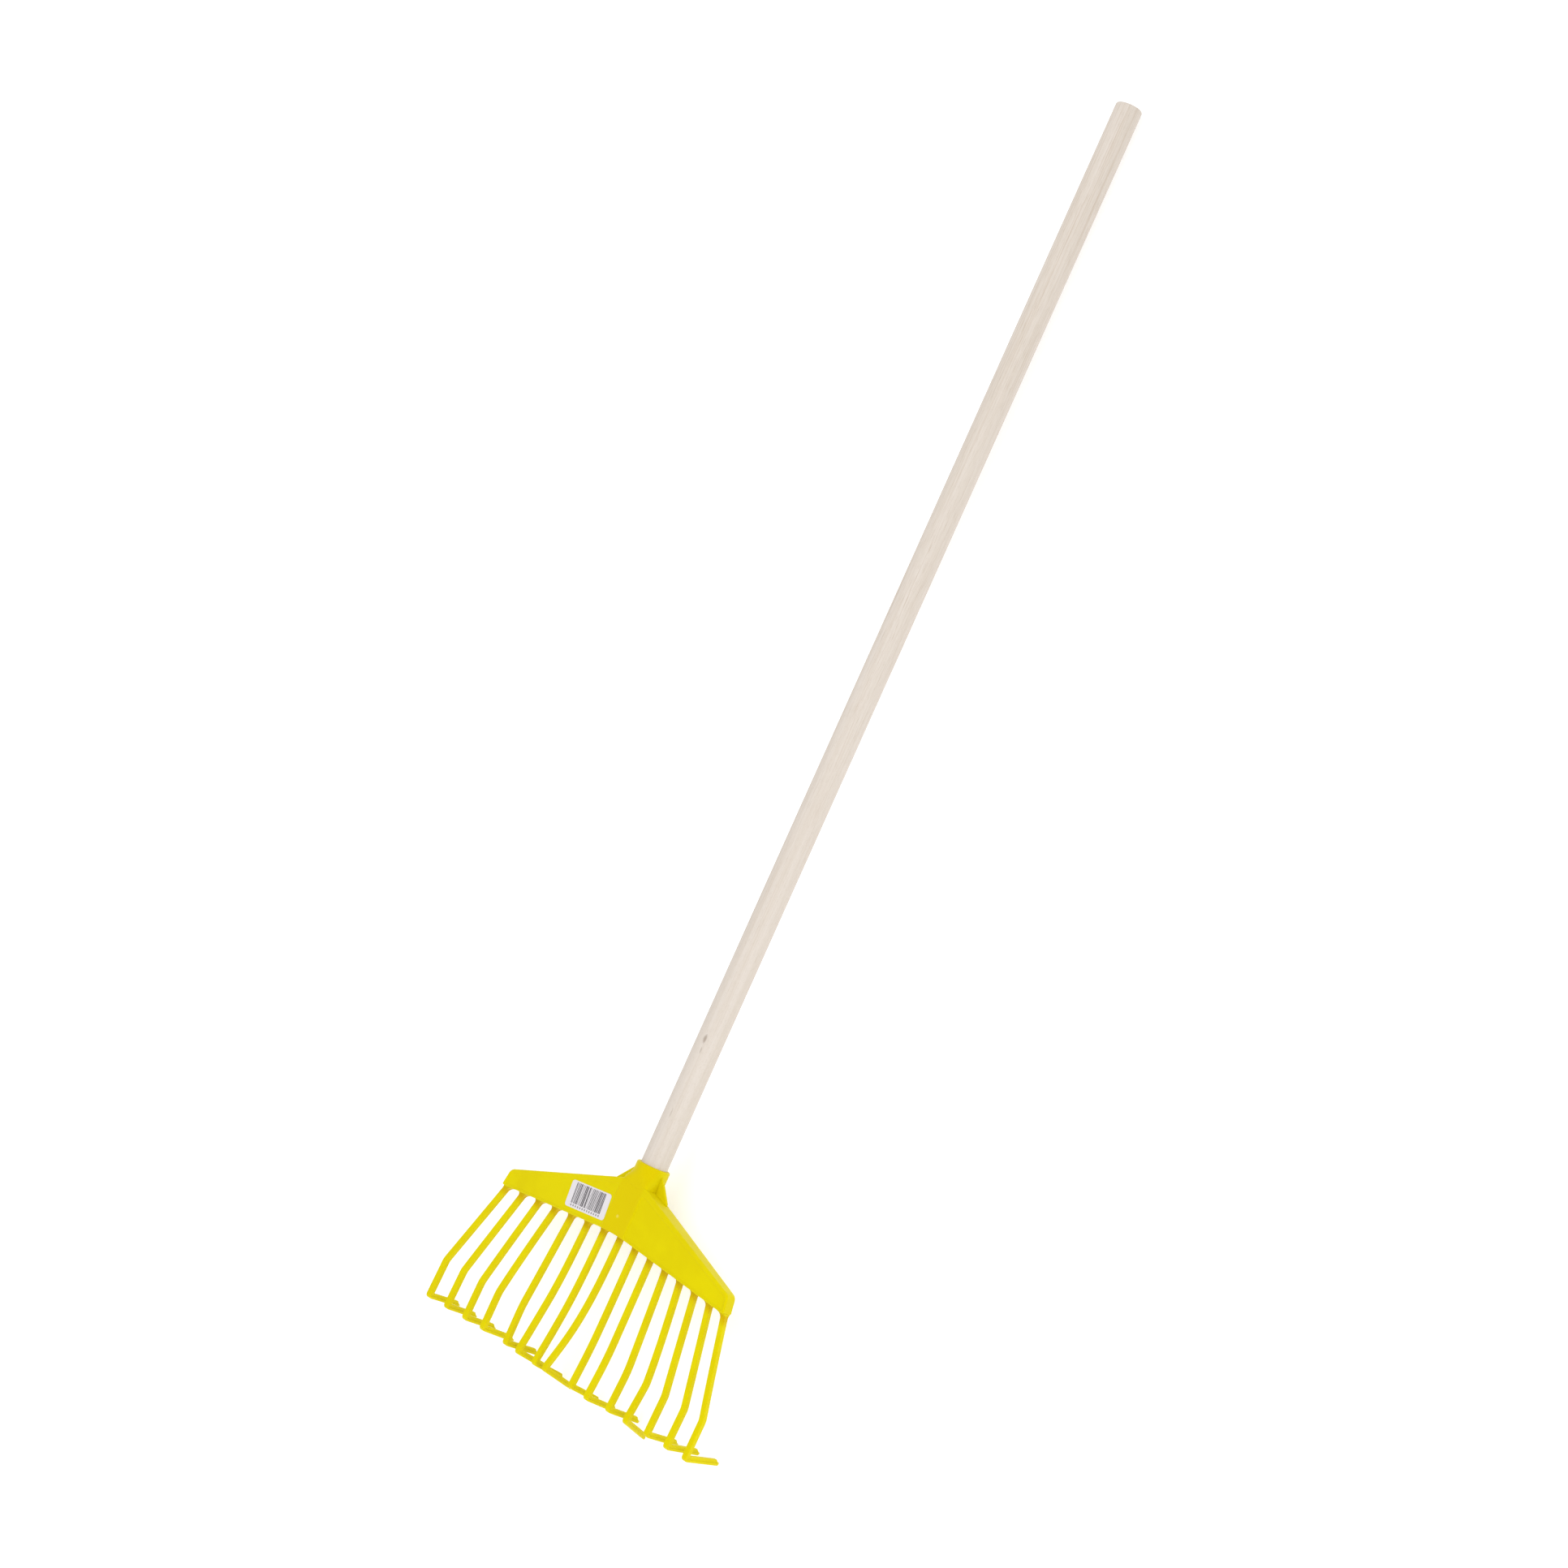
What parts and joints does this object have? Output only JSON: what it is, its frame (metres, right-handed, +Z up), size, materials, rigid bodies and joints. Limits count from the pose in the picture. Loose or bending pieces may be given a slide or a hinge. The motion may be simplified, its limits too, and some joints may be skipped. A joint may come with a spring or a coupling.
{
  "type": "hay rake",
  "caption": "Light hay rake with a round wooden handle pressed into a triangular moulded plastic head whose hooked tines flex one by one.",
  "frame": {"origin": "on the floor under the middle of the rake, which lies on its hook tips and on the free end of its handle", "axes": "+Y along the handle towards its free end, +X across the head, +Z up; the hooks point down"},
  "size_m": [0.3892, 1.4008, 0.0591],
  "materials": {
    "handle_wood": "pale sanded wood, unvarnished",
    "head_plastic": "yellow moulded polypropylene, satin to gloss",
    "screw_steel": "zinc plated",
    "label_paper": "matt white paper label with dark printed bars"
  },
  "bodies": {
    "rake_frame": {"handle": "handle_wood", "socket": "head_plastic", "head_shell": "head_plastic", "gussets": "head_plastic", "back_ribs": "head_plastic", "fixing_screw": "screw_steel", "label": "label_paper"},
    "tine_01": {"tine_01": "head_plastic"},
    "tine_02": {"tine_02": "head_plastic"},
    "tine_03": {"tine_03": "head_plastic"},
    "tine_04": {"tine_04": "head_plastic"},
    "tine_05": {"tine_05": "head_plastic"},
    "tine_06": {"tine_06": "head_plastic"},
    "tine_07": {"tine_07": "head_plastic"},
    "tine_08": {"tine_08": "head_plastic"},
    "tine_09": {"tine_09": "head_plastic"},
    "tine_10": {"tine_10": "head_plastic"},
    "tine_11": {"tine_11": "head_plastic"},
    "tine_12": {"tine_12": "head_plastic"},
    "tine_13": {"tine_13": "head_plastic"},
    "tine_14": {"tine_14": "head_plastic"},
    "tine_15": {"tine_15": "head_plastic"}
  },
  "joints": [
    {"name": "tine_01_flex", "type": "hinge", "parent": "rake_frame", "child": "tine_01", "pos_m": [-0.16075, -0.55183, 0.04706], "axis": [1, 0, 0], "range_deg": [-8, 8], "stiffness_Nm_per_rad": 3},
    {"name": "tine_02_flex", "type": "hinge", "parent": "rake_frame", "child": "tine_02", "pos_m": [-0.13775, -0.54972, 0.04556], "axis": [1, 0, 0], "range_deg": [-8, 8], "stiffness_Nm_per_rad": 3},
    {"name": "tine_03_flex", "type": "hinge", "parent": "rake_frame", "child": "tine_03", "pos_m": [-0.11475, -0.54761, 0.04428], "axis": [1, 0, 0], "range_deg": [-8, 8], "stiffness_Nm_per_rad": 3},
    {"name": "tine_04_flex", "type": "hinge", "parent": "rake_frame", "child": "tine_04", "pos_m": [-0.09175, -0.54549, 0.04322], "axis": [1, 0, 0], "range_deg": [-8, 8], "stiffness_Nm_per_rad": 3},
    {"name": "tine_05_flex", "type": "hinge", "parent": "rake_frame", "child": "tine_05", "pos_m": [-0.06875, -0.54337, 0.04239], "axis": [1, 0, 0], "range_deg": [-8, 8], "stiffness_Nm_per_rad": 3},
    {"name": "tine_06_flex", "type": "hinge", "parent": "rake_frame", "child": "tine_06", "pos_m": [-0.04575, -0.54125, 0.04179], "axis": [1, 0, 0], "range_deg": [-8, 8], "stiffness_Nm_per_rad": 3},
    {"name": "tine_07_flex", "type": "hinge", "parent": "rake_frame", "child": "tine_07", "pos_m": [-0.02275, -0.53912, 0.0414], "axis": [1, 0, 0], "range_deg": [-8, 8], "stiffness_Nm_per_rad": 3},
    {"name": "tine_08_flex", "type": "hinge", "parent": "rake_frame", "child": "tine_08", "pos_m": [0.00025, -0.53698, 0.04125], "axis": [1, 0, 0], "range_deg": [-8, 8], "stiffness_Nm_per_rad": 3},
    {"name": "tine_09_flex", "type": "hinge", "parent": "rake_frame", "child": "tine_09", "pos_m": [0.02325, -0.53912, 0.0414], "axis": [1, 0, 0], "range_deg": [-8, 8], "stiffness_Nm_per_rad": 3},
    {"name": "tine_10_flex", "type": "hinge", "parent": "rake_frame", "child": "tine_10", "pos_m": [0.04625, -0.54125, 0.04179], "axis": [1, 0, 0], "range_deg": [-8, 8], "stiffness_Nm_per_rad": 3},
    {"name": "tine_11_flex", "type": "hinge", "parent": "rake_frame", "child": "tine_11", "pos_m": [0.06925, -0.54337, 0.04239], "axis": [1, 0, 0], "range_deg": [-8, 8], "stiffness_Nm_per_rad": 3},
    {"name": "tine_12_flex", "type": "hinge", "parent": "rake_frame", "child": "tine_12", "pos_m": [0.09225, -0.54549, 0.04322], "axis": [1, 0, 0], "range_deg": [-8, 8], "stiffness_Nm_per_rad": 3},
    {"name": "tine_13_flex", "type": "hinge", "parent": "rake_frame", "child": "tine_13", "pos_m": [0.11525, -0.54761, 0.04428], "axis": [1, 0, 0], "range_deg": [-8, 8], "stiffness_Nm_per_rad": 3},
    {"name": "tine_14_flex", "type": "hinge", "parent": "rake_frame", "child": "tine_14", "pos_m": [0.13825, -0.54972, 0.04556], "axis": [1, 0, 0], "range_deg": [-8, 8], "stiffness_Nm_per_rad": 3},
    {"name": "tine_15_flex", "type": "hinge", "parent": "rake_frame", "child": "tine_15", "pos_m": [0.16125, -0.55183, 0.04706], "axis": [1, 0, 0], "range_deg": [-8, 8], "stiffness_Nm_per_rad": 3}
  ]
}
